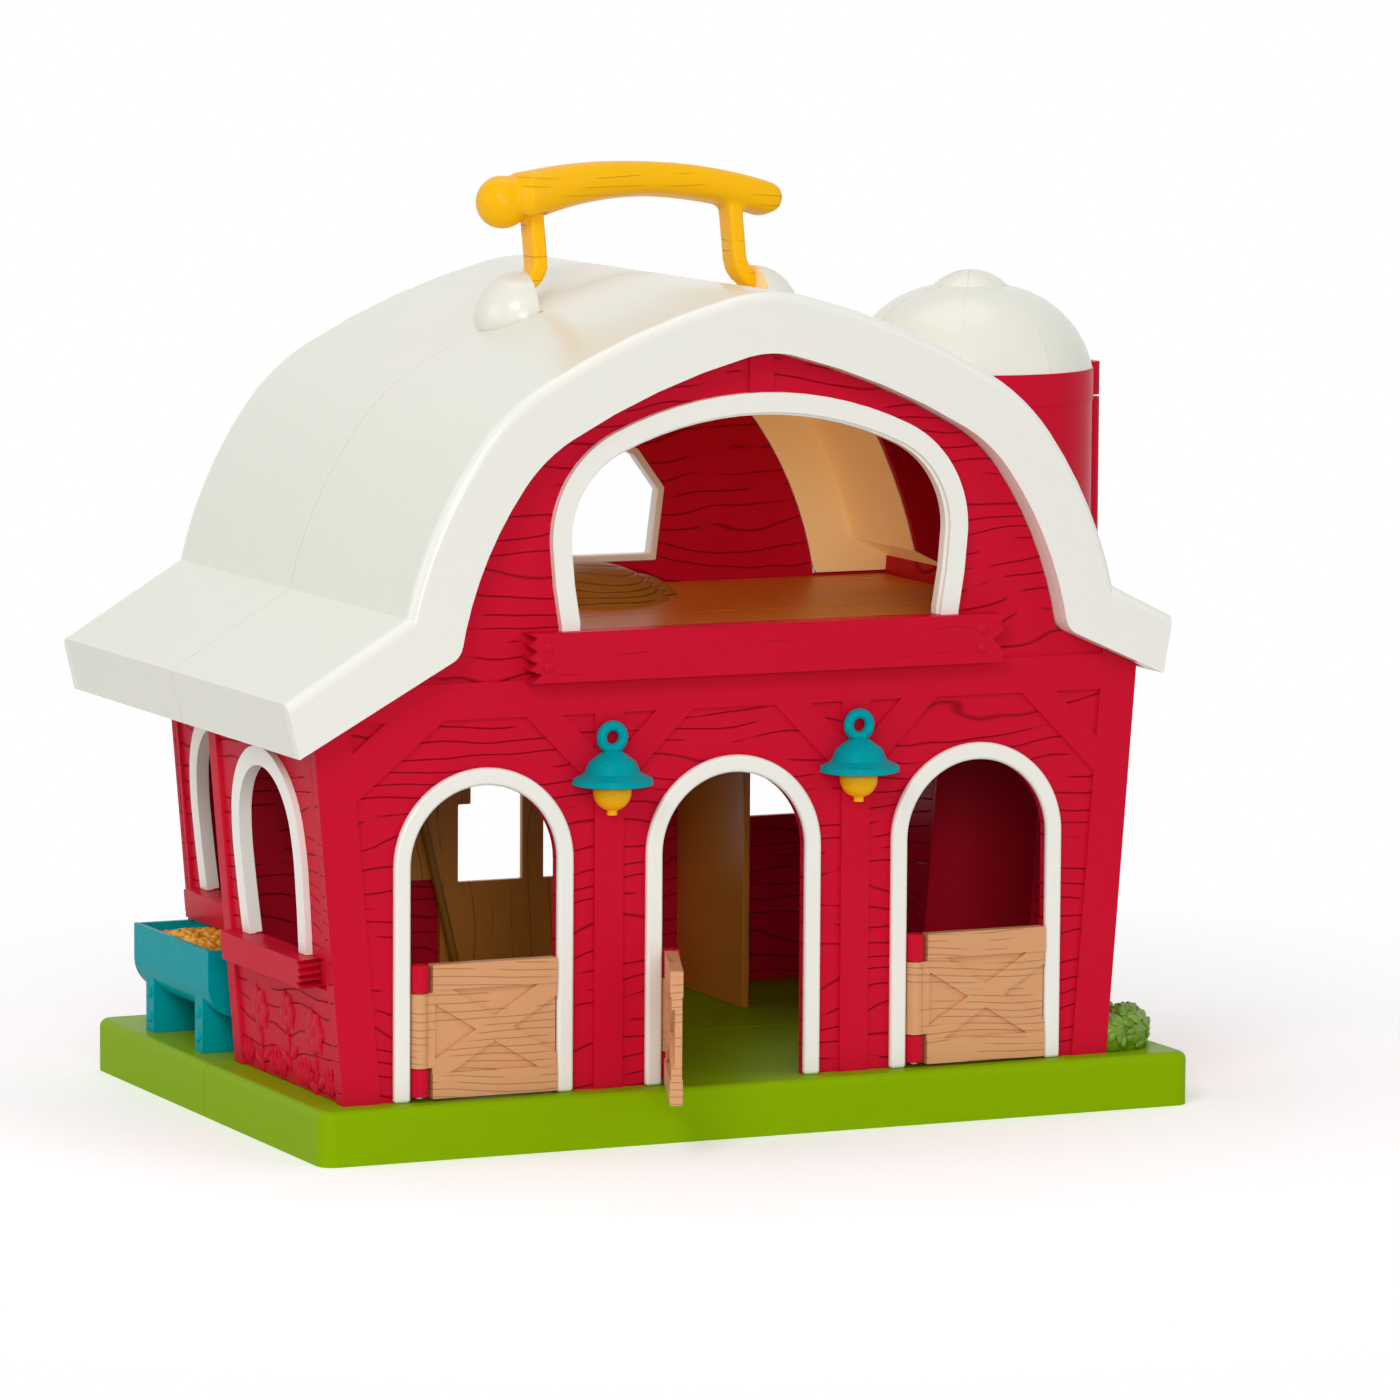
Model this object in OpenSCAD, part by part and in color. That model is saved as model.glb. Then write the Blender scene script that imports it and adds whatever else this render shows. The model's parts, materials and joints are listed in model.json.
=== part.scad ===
// Toy barn in two halves that swing open on a vertical hinge beside the silo.
// Frame: X to the right, Y to the back, Z up; the origin is on the underside of the
// base, below the ridge and on the joint line between the two halves.

/* [Base] */
// Width of the base, left to right
base_w = 340; // [336:1:350]
// Depth of both base halves together
base_d = 227.2; // [226:0.2:236]
// Height of the base
base_h = 19.5; // [16:0.5:22]

/* [Walls] */
// Distance from the joint line to the outer face of the front and rear walls
wall_y = 103; // [102:0.5:105]
// Half the width of the walls where they stand on the base
wall_half_w = 149.2; // [148:0.2:150]
// Outward lean of the left walls in degrees
left_flare = 4.9; // [4:0.1:5.5]
// Outward lean of the right walls in degrees
right_flare = 4.2; // [3:0.1:5]
// Thickness of the moulded walls
wall_t = 3; // [2.4:0.1:3.2]
// How far the left wall of the rear half stands back, to make room for the trough
rear_inset = 24.5; // [23:0.5:25]

/* [Stable doors] */
// Spacing of the three doorways
door_pitch = 96; // [94:1:98]
// Outer half width of the doorway frames
frame_half_w = 34; // [33:0.5:35]
// Height of the top of the doorway frames above the ground
frame_top = 135.9; // [130:0.5:140]
// Width of the face of a frame
frame_w = 6.2; // [5:0.2:7]
// Height of the top of a half door above the ground
half_door_top = 67.8; // [60:0.5:72]
// How far the middle door stands open, in degrees
middle_door_open = 112; // [0:1:112]

/* [Loft] */
// Height of the top of the loft floor
loft_z = 174.7; // [173:0.2:175]
// Height of the top of the loft window frame
loft_window_top = 264; // [262:0.5:265]
// Width of the face of the loft window frame
loft_frame_w = 7; // [6:0.5:8]

/* [Roof] */
// Half the depth of the roof
roof_y = 112.5; // [111:0.5:113]
// Height of the lower edge of the gable band at the ridge
arch_top = 278.2; // [277:0.2:279]
// Width of the gable band
band_w = 21.5; // [20:0.5:22]
// Reach of the left eave from the ridge line
eave_left = 182.7; // [180:0.1:184]
// Reach of the right eave from the ridge line
eave_right = 160.6; // [159:0.1:162]
// Thickness of the roof shell
roof_t = 3; // [2.6:0.1:3.2]

/* [Silo] */
// Distance of the silo's axis from the ridge line
silo_x = 133.8; // [133:0.1:134.5]
// Outer radius of the silo
silo_r = 45.5; // [45:0.1:46]
// Height of the top of the silo's ring
silo_top = 262.1; // [259:0.1:263]
// Height of the silo's dome above the ring, without its cap
dome_h = 31.6; // [28:0.2:34]

/* [Handle] */
// Height of the handle's pivot line
pivot_z = 295.5; // [295.2:0.1:296]
// Distance of each handle boss from the middle of the handle
boss_x = 46; // [45.8:0.1:47]
// Backward lean of the handle as it stands, in degrees
handle_lean = 12; // [-40:1:40]

/* [Hidden] */
$fn = 64;
gap = 0.15;            // half of the joint line between the two halves
run = 0.06;            // radial clearance of a pin in its bore
eps = 0.05;
far = 400;             // longer than the whole object

red = [0.77, 0.10, 0.20];
cream = [0.91, 0.91, 0.86];
green = [0.47, 0.62, 0.05];
teal = [0.00, 0.56, 0.62];
yellow = [1.00, 0.75, 0.00];
tan_brown = [0.79, 0.55, 0.36];
loft_brown = [0.55, 0.33, 0.10];
steel = [0.75, 0.75, 0.77];

// The roof's lower edge and the window outlines are chains of tangent arcs that start at
// the top, each [radius, angle at which it ends], so an offset only changes the radii.
roof_arcs = [[38, 14], [260, 30], [57, 54], [135, 81]];
loft_arcs = [[135, 25], [41, 93], [205, 101]];
side_arcs = [[32, 78], [66, 92], [330, 97]];
dome_arcs = [[67, 16], [38.5, 78]];
arc_step = 4;          // degrees of arc between two outline points

door_shift = -10;      // the doorways are centred a little left of the ridge
door_x = [for (i = [-1:1]) door_shift + i * door_pitch];
wall_shift = -9.4;     // and so are the walls
wall_left = wall_shift - wall_half_w;
wall_right = wall_shift + wall_half_w;
frame_proud = 3.1;     // thickness of the frames in front of the wall

eave_slope = [31.3, 26.2];                        // left and right, in degrees
eave_root = [[-137.2, 189.6], [137.6, 190.6]];    // where the eaves leave the arch
eave_lip = [[4.6, -19.1], [-3.6, -20.7]];         // from the top to the bottom of each tip
eave_corner_r = 7;     // rounding where the undersides meet the arch

hinge_x = silo_x + silo_r + 4.7;
hinge_pin_r = 1.5;
knuckle_r = 3.7;
knuckle_step = 60;     // the hinge's knuckles, from the top of the ring downwards
knuckle_gap = 0.8;
ring_h = 11.8;
silo_t = 2.5;

door_pin_r = 1.2;
barrel_r = 3.2;
door_hinge_x = -24.2;  // from the middle of a doorway to its hinge pin
door_hinge_y = -(wall_y + 1.6);
door_z0 = base_h + 1;
door_knuckle_h = 9.6;

handle_shift = -1.4;   // the handle's middle from the ridge line
stub_r = 3;            // the handle's pivot stubs
boss_r = 17;
boss_z = pivot_z - 11;

lamp_z = 127.5;        // lower edge of the lamp shades
window_y = 53;         // the side windows' middle, from the joint line
window_top = 141;
sill_z = [60, 70.3];
side_frame_w = 7;

screw_x = [-58, 51, 126];      // and one more near the left wall of each half
screw_left = [-146, -125.2];     // front and rear
screw_y = wall_y - wall_t - 3.4;
screw_r = 1.5;

// ---------- outlines ----------

function arc_points(arcs, p, a0, i = 0) =
  i >= len(arcs) ? [] :
  let (r = arcs[i][0], a1 = arcs[i][1], n = ceil((a1 - a0) / arc_step))
  concat([for (k = [1:n]) p + r * arc_turn(a0, a0 + (a1 - a0) * k / n)],
         arc_points(arcs, p + r * arc_turn(a0, a1), a1, i + 1));

function arc_turn(a0, a1) = [sin(a1) - sin(a0), cos(a1) - cos(a0)];

function half_outline(arcs, top, off) =
  concat([[0, top + off]],
         arc_points([for (s = arcs) [s[0] + off, s[1]]], [0, top + off], 0));

function both_sides(pts) =
  concat([for (i = [len(pts) - 1:-1:1]) [-pts[i].x, pts[i].y]], pts);

// An outline filled down to the height of its ends, or lower to z = bottom
module arc_fill(arcs, top, off, bottom = undef) {
  half = half_outline(arcs, top, off);
  foot = bottom == undef ? [] : [[half[len(half) - 1].x, bottom]];
  polygon(both_sides(concat(half, foot)));
}

// Draws a flat shape in the XZ plane and gives it depth from y0 to y1
module upright(y0, y1) {
  translate([0, y1, 0]) rotate([90, 0, 0]) linear_extrude(y1 - y0) children();
}

// Draws a flat shape in the YZ plane and gives it width from x0 to x1
module sideways(x0, x1) {
  translate([x0, 0, 0]) rotate([90, 0, 90]) linear_extrude(x1 - x0) children();
}

module at_silo() {
  translate([silo_x, 0, 0]) children();
}

// Everything behind the joint line
module rear_half(x0 = -far) {
  translate([x0, gap, -far]) cube([2 * far, far, 2 * far]);
}

// Everything in front of the joint line
module front_half(x0 = -far) {
  translate([x0, -far - gap, -far]) cube([2 * far, far, 2 * far]);
}

// ---------- roof ----------

function eave_tip(s) =
  let (reach = s == 0 ? -eave_left : eave_right)
  [reach, eave_root[s].y - abs(reach - eave_root[s].x) * tan(eave_slope[s])];

// The end of the arch's lower edge, where it meets the underside of an eave
function arch_foot(s) =
  let (half = half_outline(roof_arcs, arch_top, 0), foot = half[len(half) - 1])
  [s == 0 ? -foot.x : foot.x, foot.y];

// The points of an arc of radius r that rounds the corner at p, between a and b
function rounded(a, p, b, r) =
  let (u = (a - p) / norm(a - p), v = (b - p) / norm(b - p), half = acos(u * v) / 2,
       middle = p + (u + v) / norm(u + v) * r / sin(half),
       from = p + u * r / tan(half) - middle, to = p + v * r / tan(half) - middle)
  [for (k = [0:0.125:1]) let (w = (1 - k) * from + k * to) middle + r * w / norm(w)];

module eave_2d(s) {
  tip = eave_tip(s);
  foot = arch_foot(s);
  polygon([eave_root[s], tip, tip + eave_lip[s], foot, [foot.x * 0.93, foot.y + 10]]);
}

// What the rounding takes off the corner between an eave and the arch
module eave_corner_2d(s) {
  foot = arch_foot(s);
  last = roof_arcs[len(roof_arcs) - 1][1];
  up = foot + 20 * [s == 0 ? cos(last) : -cos(last), sin(last)];
  arc = rounded(eave_tip(s) + eave_lip[s], foot, up, eave_corner_r);
  end = arc[len(arc) - 1];
  out = foot - (arc[0] + end) / 2;
  polygon(concat(arc, [end + out, foot + 1.5 * out, arc[0] + out]));
}

// The hollow below an eave's shell, open at the bottom
module eave_hollow_2d(s) {
  side = s == 0 ? -1 : 1;
  tip = eave_tip(s);
  drop = roof_t / cos(eave_slope[s]);
  back = [-side * roof_t, 0];
  polygon([[side * 100, tip.y + (abs(tip.x) - 100) * tan(eave_slope[s]) - drop],
           tip + back - [0, drop - roof_t * tan(eave_slope[s])],
           tip + 1.5 * eave_lip[s] + back,
           [tip.x + 1.5 * eave_lip[s].x - side * roof_t, 130],
           [side * 100, 130]]);
}

module roof_full_2d() {
  arc_fill(roof_arcs, arch_top, band_w);
  for (s = [0, 1]) eave_2d(s);
}

module under_roof_2d() {
  arc_fill(roof_arcs, arch_top, band_w - roof_t);
  for (s = [0, 1]) eave_hollow_2d(s);
  translate([-120, 0]) square([240, 182]);
  translate([-180, 0]) square([360, 140.1]);
}

module gable_band_2d() {
  difference() {
    roof_full_2d();
    arc_fill(roof_arcs, arch_top, 0);
    for (s = [0, 1]) eave_corner_2d(s);
  }
}

gable_z = 175.5;       // below this height the gable walls reach out under the eaves

module roof_half() {
  difference() {
    union() {
      upright(gap, roof_y) difference() {
        roof_full_2d();
        under_roof_2d();
      }
      upright(roof_y - roof_t, roof_y) gable_band_2d();
      upright(wall_y, roof_y - 1) difference() {
        gable_band_2d();
        offset(delta = -2.5) gable_band_2d();
      }
      upright(wall_y - wall_t, wall_y + eps) intersection() {
        gable_band_2d();
        translate([-far, gable_z + 0.5]) square([2 * far, far]);
      }
    }
    at_silo() translate([0, 0, 100]) cylinder(h = 200, r = silo_r + 0.9);
  }
}

// A round boss that carries one end of the handle, flat on its inner side
module boss(side) {
  face = handle_shift + side * boss_x;
  difference() {
    translate([face, 0, boss_z]) rotate([0, side * 90, 0]) rotate_extrude()
      polygon([[0, 0], [boss_r, 0], for (a = [6:6:84]) [boss_r * cos(a), boss_r * sin(a)], [0, boss_r]]);
    upright(-30, 30) arc_fill(roof_arcs, arch_top, band_w - roof_t + 0.6, 150);
    translate([face - side, 0, pivot_z]) rotate([0, side * 90, 0])
      cylinder(h = 7.2, r = stub_r + run);
  }
}

module rear_roof() {
  color(cream) {
    roof_half();
    for (side = [-1, 1]) boss(side);
  }
}

// The notch for a boss in the edge of the front roof
module boss_notch(side) {
  clear = 1.3;
  face = handle_shift + side * boss_x;
  intersection() {
    translate([face, 0, boss_z]) sphere(r = boss_r + clear);
    translate([side > 0 ? face - clear : face - 30, -30, 250]) cube([30 + clear, 60, 80]);
  }
}

module front_roof() {
  color(cream) difference() {
    mirror([0, 1, 0]) roof_half();
    for (side = [-1, 1]) boss_notch(side);
  }
}

// ---------- base ----------

module base_outline_2d(grow = 0) {
  w = base_w / 2 + grow;
  d = base_d / 2 + grow;
  corner = 6;
  for (x = [-1, 1]) translate([x * (w - corner), d - corner]) circle(corner);
  translate([-w, gap - grow]) square([2 * w, d - corner - gap + grow]);
  translate([-w + corner, d - 2 * corner]) square([2 * (w - corner), 2 * corner]);
  intersection() {
    translate([silo_x, 0]) circle(silo_r + 2 + grow);
    translate([0, gap - grow]) square([far, far]);
  }
}

// Screw positions in the front half (side = -1) or the rear half (side = 1)
function screws_in(side) = concat([screw_left[side > 0 ? 1 : 0]], screw_x);

module base_half(side) {
  difference() {
    union() {
      difference() {
        linear_extrude(base_h) base_outline_2d();
        translate([0, 0, -eps]) linear_extrude(base_h - 3 + eps) base_outline_2d(-3);
      }
      for (x = [-58, 58]) translate([x - 1, 2, 6]) cube([2, base_d / 2 - 4, base_h - 7]);
      for (x = screws_in(side)) translate([x, screw_y, 4]) cylinder(h = base_h - 5, r = 5);
    }
    for (x = screws_in(side)) translate([x, screw_y, -eps]) {
      cylinder(h = far, r = screw_r + 0.3);
      cylinder(h = 8, r = 3.4);
    }
  }
}

tongue_w = 40;
tongue_l = 8;
peg_x = -150;
peg_z = 9;

module rear_base() {
  color(green) difference() {
    union() {
      base_half(1);
      translate([-tongue_w / 2, -tongue_l, 0]) cube([tongue_w, tongue_l + 12, 6]);
    }
    translate([peg_x, -eps, peg_z]) rotate([-90, 0, 0]) cylinder(h = 9, r = 2.9);
  }
}

module front_base() {
  color(green) {
    difference() {
      mirror([0, 1, 0]) base_half(-1);
      translate([-tongue_w / 2 - 0.6, -tongue_l - 0.6, -eps])
        cube([tongue_w + 1.2, tongue_l + 1.2, 6.6]);
    }
    translate([peg_x, -3, peg_z]) rotate([-90, 0, 0]) cylinder(h = 8, r = 2.5);
  }
}

module screws(side) {
  color(steel) for (x = screws_in(side)) translate([x, side * screw_y, 0]) {
    translate([0, 0, 5.9]) cylinder(h = 2, r = 3);
    translate([0, 0, 7]) cylinder(h = base_h + 4, r = screw_r);
  }
}

module rear_screws() {
  screws(1);
}

module front_screws() {
  screws(-1);
}

// ---------- walls ----------

// The x coordinate of a side wall's outer face at the height z: side = -1 is the left wall
function wall_face(side, z) =
  side < 0 ? wall_left - (z - base_h) * tan(left_flare) : wall_right + (z - base_h) * tan(right_flare);

// The leaning outline of the walls, with the left and right sides moved in
module wall_outline_2d(left_in = 0, right_in = 0) {
  intersection() {
    polygon([[wall_face(-1, base_h) + left_in, base_h], [wall_face(1, base_h) - right_in, base_h],
             [wall_face(1, 320) - right_in, 320], [wall_face(-1, 320) + left_in, 320]]);
    under_roof_2d();
  }
}

// The outline of a gable wall, which ends under the gable band
module gable_wall_2d(left_in = 0) {
  intersection() {
    wall_outline_2d(left_in);
    union() {
      arc_fill(roof_arcs, arch_top, -0.3, 150);
      translate([-far, 0]) square([2 * far, gable_z]);
    }
  }
}

module doorway_2d(half_w) {
  z = frame_top - frame_half_w;
  translate([0, z]) circle(half_w);
  translate([-half_w, 0]) square([2 * half_w, z]);
}

module screw_bosses(side) {
  for (x = screws_in(side)) translate([x, side * screw_y, base_h]) difference() {
    cylinder(h = 12, r = 4.2);
    translate([0, 0, -1]) cylinder(h = far, r = screw_r + 0.02);
  }
}

module door_knuckles(x) {
  knuckle_z = [door_z0 + 1, half_door_top - door_knuckle_h];
  translate([x + door_hinge_x, door_hinge_y, 0]) for (z = knuckle_z) translate([0, 0, z])
    difference() {
      union() {
        cylinder(h = door_knuckle_h, r = barrel_r);
        translate([-6, 1.6, 0]) cube([6, wall_t - 0.5, door_knuckle_h]);
      }
      translate([0, 0, -1]) cylinder(h = far, r = door_pin_r + run);
    }
}

trim_t = 1.2;          // thickness of the raised boards on the front wall
corner_w = 14;         // width of the boards at its corners
band_z = [152.9, 165.7];
lamp_x = [door_shift - door_pitch / 2, door_shift + door_pitch / 2];
lamp_brace = [[5, 125.8], [33, 153.9], [18.9, 153.9], [5, 140]];
corner_brace = [[[-156, 124.3], [-119.6, 153.9], [-141.6, 153.9], [-158, 140.6]],
                [[102.8, 153.9], [136.5, 120.2], [136.5, 133.8], [116.7, 153.9]]];

// The raised boards: corners, posts with braces, the band and a short post at the top
module front_boards_2d() {
  translate([-far, band_z[0]]) square([2 * far, band_z[1] - band_z[0]]);
  for (x = lamp_x) translate([x, 0]) {
    translate([-5.5, 0]) square([11, band_z[0] + 1]);
    for (side = [0, 1]) mirror([side, 0]) polygon(lamp_brace);
  }
  for (points = corner_brace) polygon(points);
  for (side = [-1, 1]) side_strip_2d(side, 0, corner_w);
  translate([-4.6, loft_window_top - 3]) square([9.2, 20]);
}

module front_wall() {
  color(red) {
    upright(-wall_y, -wall_y + wall_t) difference() {
      gable_wall_2d();
      for (x = door_x) translate([x, 0]) doorway_2d(frame_half_w - frame_w + 0.4);
      arc_fill(loft_arcs, loft_window_top, 0.5 - loft_frame_w, 182.5);
    }
    upright(-wall_y - trim_t, -wall_y + eps) intersection() {
      front_boards_2d();
      difference() {
        gable_wall_2d();
        offset(delta = 0.3) gable_band_2d();
        arc_fill(loft_arcs, loft_window_top, 0.1, 182.5);
      }
    }
    for (x = door_x) door_knuckles(x);
    screw_bosses(-1);
  }
}

rear_light_z = [64.6, 108];     // the two lights low in the rear wall, on either side
rear_light = [4.4, 30.6];       // of a post on the ridge line
rear_window_x = 111;

module rear_loft_opening_2d(grow = 0) {
  offset(delta = grow)
    polygon([[-51.5, 183], [-55, 211], [-44, 226], [0, 246], [44, 226], [55, 211], [51.5, 183]]);
}

module rear_wall() {
  color(red) {
    upright(wall_y - wall_t, wall_y) difference() {
      gable_wall_2d(rear_inset);
      rear_loft_opening_2d();
      translate([-34, 61]) square([68, 51]);
      translate([rear_window_x - 24, 83]) square([44, 38]);
    }
    upright(wall_y - eps, wall_y + trim_t) intersection() {
      translate([-far, band_z[0]]) square([2 * far, band_z[1] - band_z[0]]);
      difference() {
        gable_wall_2d(rear_inset);
        offset(delta = 0.3) gable_band_2d();
      }
    }
    screw_bosses(1);
  }
}

// A leaning strip at the left (side = -1) or right (side = 1) end of the walls
module side_strip_2d(side, from, to) {
  low = wall_face(side, base_h);
  high = wall_face(side, 200);
  intersection() {
    polygon([[low - side * from, base_h], [low - side * to, base_h],
             [high - side * to, 200], [high - side * from, 200]]);
    under_roof_2d();
  }
}

module side_opening(y, x0, x1) {
  sideways(x0, x1) translate([y, 0])
    arc_fill(side_arcs, window_top, 1.6 - side_frame_w, sill_z[1]);
}

// Coordinates on the leaning left wall: x = 0 is its outer face, z runs up the slope
module on_left_wall(inset) {
  translate([wall_left + inset, 0, base_h]) rotate([0, -left_flare, 0])
    translate([0, 0, -base_h]) children();
}

board_t = 1.3;         // thickness of the raised boards on the left walls
seam_board_w = 8;
rail_z = [56, 59.6];
left_inner = board_t + 2.7;    // the left walls' inner face, behind their boards

// One half of the left wall, with a board at either end and a rail below the window
module left_wall_half(inset, end_board_w) {
  upright(gap, wall_y - wall_t) side_strip_2d(-1, inset + board_t, inset + left_inner);
  for (y = [[gap, seam_board_w], [wall_y - end_board_w, wall_y - wall_t]])
    upright(y[0], y[1]) side_strip_2d(-1, inset, inset + board_t + eps);
  upright(gap, wall_y - wall_t) intersection() {
    side_strip_2d(-1, inset, inset + board_t + eps);
    translate([-far, rail_z[0]]) square([2 * far, rail_z[1] - rail_z[0]]);
  }
}

module front_left_wall() {
  color(red) difference() {
    union() {
      mirror([0, 1, 0]) left_wall_half(0, 5.8);
      upright(-wall_t - gap, -gap) side_strip_2d(-1, 0, rear_inset + left_inner);
    }
    side_opening(-window_y, wall_left - 20, wall_left + 8);
  }
}

module rear_left_wall() {
  color(red) difference() {
    left_wall_half(rear_inset, 6);
    side_opening(window_y, wall_left, wall_left + rear_inset + 8);
  }
}

module right_wall_half() {
  difference() {
    upright(gap, wall_y - wall_t) side_strip_2d(1, 0, wall_t);
    at_silo() cylinder(h = far, r = silo_r + eps);
  }
}

module rear_right_wall() {
  color(red) right_wall_half();
}

module front_right_wall() {
  color(red) mirror([0, 1, 0]) right_wall_half();
}

// ---------- frames and sills ----------

module door_frame(i) {
  color(cream) upright(-wall_y - frame_proud, -wall_y) translate([door_x[i], 0])
    intersection() {
      difference() {
        doorway_2d(frame_half_w);
        doorway_2d(frame_half_w - frame_w);
      }
      translate([-far, base_h]) square([2 * far, far]);
    }
}

module door_frame_1() {
  door_frame(0);
}

module door_frame_2() {
  door_frame(1);
}

module door_frame_3() {
  door_frame(2);
}

ledge_z = [165, 182.5];
ledge_y = 7;           // how far the ledge stands out from the wall
ledge_x = -91.2;       // its left end
ledge_right_end = [[92.3, 182.5], [94, 181.6], [92.2, 178.5], [94.1, 176.6], [89.2, 173.5],
                   [92.2, 170.5], [93.6, 168.8], [93.6, 165.6], [92.2, 165]];
// The ragged end of a board: depth of each point, and its share of the board's height
ragged = [[0.7, 0], [5, 0.17], [0.2, 0.27], [3.2, 0.4], [0, 0.5], [3.2, 0.64], [0.2, 0.76],
          [3.2, 0.91], [0, 1]];

function ragged_end(x, z) = [for (p = ragged) [x + p[0], z[0] + p[1] * (z[1] - z[0])]];

module loft_window_frame() {
  color(cream) {
    upright(-wall_y - frame_proud, -wall_y) difference() {
      arc_fill(loft_arcs, loft_window_top, 0, ledge_z[1]);
      arc_fill(loft_arcs, loft_window_top, -loft_frame_w, ledge_z[1] - 1);
    }
    upright(-wall_y - 1, -wall_y + wall_t) difference() {
      arc_fill(loft_arcs, loft_window_top, 0.4 - loft_frame_w, ledge_z[1] + 0.1);
      arc_fill(loft_arcs, loft_window_top, -loft_frame_w - 1, ledge_z[1] - 1);
    }
  }
}

module loft_ledge() {
  color(red) difference() {
    upright(-wall_y - ledge_y, -wall_y) polygon(concat(ragged_end(ledge_x, ledge_z), ledge_right_end));
    translate([-far, -wall_y - trim_t, 0]) cube([2 * far, 10, band_z[1] + 0.1]);
  }
}

module rear_loft_frame() {
  color(cream) upright(wall_y - wall_t - 1, wall_y + 2) difference() {
    rear_loft_opening_2d(-0.2);
    rear_loft_opening_2d(-3);
  }
}

// A face that stands on the grained wall, and a lining that goes through its opening
module side_frame(y) {
  color(cream) {
    sideways(-board_t, board_t - 0.02) translate([y, 0]) difference() {
      arc_fill(side_arcs, window_top, 0, sill_z[1] + 0.1);
      arc_fill(side_arcs, window_top, -side_frame_w, sill_z[1] - 1);
    }
    sideways(0, 3.6) translate([y, 0]) difference() {
      arc_fill(side_arcs, window_top, 1.3 - side_frame_w, sill_z[1] + 0.4);
      arc_fill(side_arcs, window_top, -side_frame_w, sill_z[1] - 1);
    }
  }
}

module front_left_frame() {
  on_left_wall(0) side_frame(-window_y);
}

module rear_left_frame() {
  on_left_wall(rear_inset) side_frame(window_y);
}

// A board below a side window, ragged at the end away from the joint line
module side_sill() {
  sideways(board_t - 8, board_t - 0.02)
    polygon(concat(ragged_end(-91, sill_z), [[-14, sill_z[1]], [-14, sill_z[0]]]));
}

module front_left_sill() {
  color(red) on_left_wall(0) side_sill();
}

module rear_left_sill() {
  color(red) on_left_wall(rear_inset) mirror([0, 1, 0]) side_sill();
}

// ---------- stable doors ----------

module door_leaf(i) {
  web_z = [door_z0 + 1 + door_knuckle_h + 0.4, half_door_top - door_knuckle_h - 0.4];
  x0 = 4.2;
  x1 = frame_half_w - frame_w - door_hinge_x - 0.6;
  w = x1 - x0;
  h = half_door_top - door_z0;
  rail_h = 9;
  board_w = 7.5;
  tilt = atan((h - 2 * rail_h) / w);
  color(tan_brown) difference() {
    union() {
      translate([0, 0, web_z[0]]) cylinder(h = web_z[1] - web_z[0], r = barrel_r);
      translate([0, -2, web_z[0]]) cube([x0 + 1, 3.4, web_z[1] - web_z[0]]);
      translate([x0, -0.6, door_z0]) cube([w, 2.6, h]);
      for (z = [door_z0, half_door_top - rail_h])
        translate([x0, -2.3, z]) cube([w, 4.6, rail_h]);
      upright(-1.8, 0) intersection() {
        translate([x0, door_z0 + rail_h - 1]) square([w, h - 2 * rail_h + 2]);
        translate([x0 + w / 2, door_z0 + h / 2]) for (a = [tilt, -tilt])
          rotate(a) translate([-w, -board_w / 2]) square([2 * w, board_w]);
      }
    }
    translate([0, 0, -1]) cylinder(h = far, r = door_pin_r + run);
  }
}

module door_pin(i) {
  color("white") translate([door_x[i] + door_hinge_x, door_hinge_y, door_z0 + 0.2])
    cylinder(h = half_door_top - door_z0 - 0.6, r = door_pin_r);
}

module hung_door(i, open) {
  translate([door_x[i] + door_hinge_x, door_hinge_y, 0]) rotate([0, 0, -open]) door_leaf(i);
}

module stable_door_1() {
  hung_door(0, 0);
}

module stable_door_2() {
  hung_door(1, middle_door_open);
}

module stable_door_3() {
  hung_door(2, 0);
}

module door_pin_1() {
  door_pin(0);
}

module door_pin_2() {
  door_pin(1);
}

module door_pin_3() {
  door_pin(2);
}

// ---------- lamps ----------

lamp_y = -(wall_y + 3.5);

module in_front_of_wall(y = wall_y) {
  intersection() {
    children();
    translate([-far, -2 * far - y, 0]) cube([2 * far, 2 * far, far]);
  }
}

module lamp(x) {
  color(teal) in_front_of_wall(wall_y + trim_t) translate([x, lamp_y, 0]) {
    translate([0, 0, lamp_z]) rotate_extrude() difference() {
      polygon([[0, 2], [12.5, 0], [14.5, 0.6], [14.3, 2.6], [10, 4.6], [8.4, 8.4], [5, 11],
               [2.6, 12.4], [0, 12.8]]);
      polygon([[-1, -1], [11, -1], [8.5, 2.8], [6.4, 7.2], [-1, 9]]);
    }
    translate([0, 0, lamp_z + 17]) rotate([90, 0, 0]) rotate_extrude()
      translate([4.1, 0]) circle(1.8);
  }
}

module bulb(x) {
  color(yellow) in_front_of_wall(wall_y + trim_t) translate([x, lamp_y, lamp_z - 2.2]) {
    intersection() {
      sphere(r = 6.8);
      translate([-8, -8, -8]) cube([16, 16, 11]);
    }
    translate([0, 0, -8.2]) cylinder(h = 3, r = 1.8);
  }
}

module left_lamp() {
  lamp(lamp_x[0]);
}

module right_lamp() {
  lamp(lamp_x[1]);
}

module left_bulb() {
  bulb(lamp_x[0]);
}

module right_bulb() {
  bulb(lamp_x[1]);
}

// ---------- silo and main hinge ----------

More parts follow.
